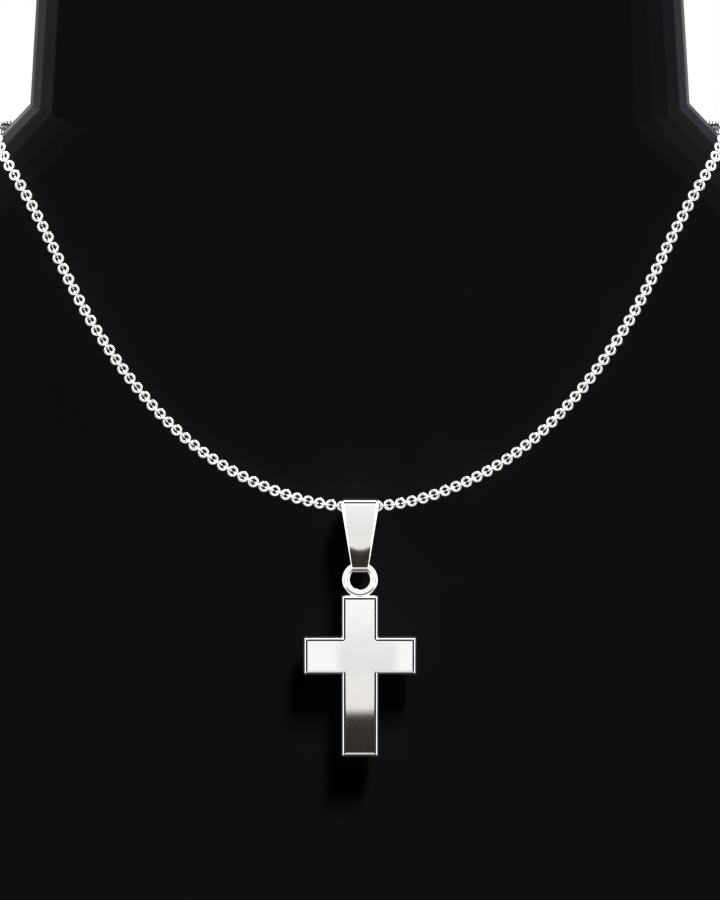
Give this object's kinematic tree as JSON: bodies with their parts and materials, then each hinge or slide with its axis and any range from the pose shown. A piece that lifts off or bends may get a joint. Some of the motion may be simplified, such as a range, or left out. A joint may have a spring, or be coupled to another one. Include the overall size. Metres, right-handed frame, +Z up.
{
  "type": "cross necklace on neck bust",
  "caption": "Fine round-link chain with a flat polished cross on a tapered bail, worn by a black display bust with a flat front and bevelled shoulders.",
  "frame": {"origin": "centre of the footprint at the bottom of the display bust", "axes": "+Z up, the necklace's front faces -Y, +X to the viewer's right seen from the front"},
  "size_m": [0.19, 0.0663, 0.19],
  "materials": {
    "bust_black": "satin black",
    "white_metal": "polished"
  },
  "bodies": {
    "root": {"bust": "bust_black", "chain_front": "white_metal", "chain_back": "white_metal", "clasp": "white_metal"},
    "bail": {"bail": "white_metal"},
    "pendant": {"cross": "white_metal"}
  },
  "joints": [
    {"name": "bail_swing", "type": "hinge", "parent": "root", "child": "bail", "pos_m": [0, -0.0315, 0.0856], "axis": [-1, 0, 0], "range_deg": [0, 60]},
    {"name": "cross_swing", "type": "hinge", "parent": "bail", "child": "pendant", "pos_m": [0, -0.0315, 0.07558], "axis": [-1, 0, 0], "range_deg": [0, 45]}
  ]
}
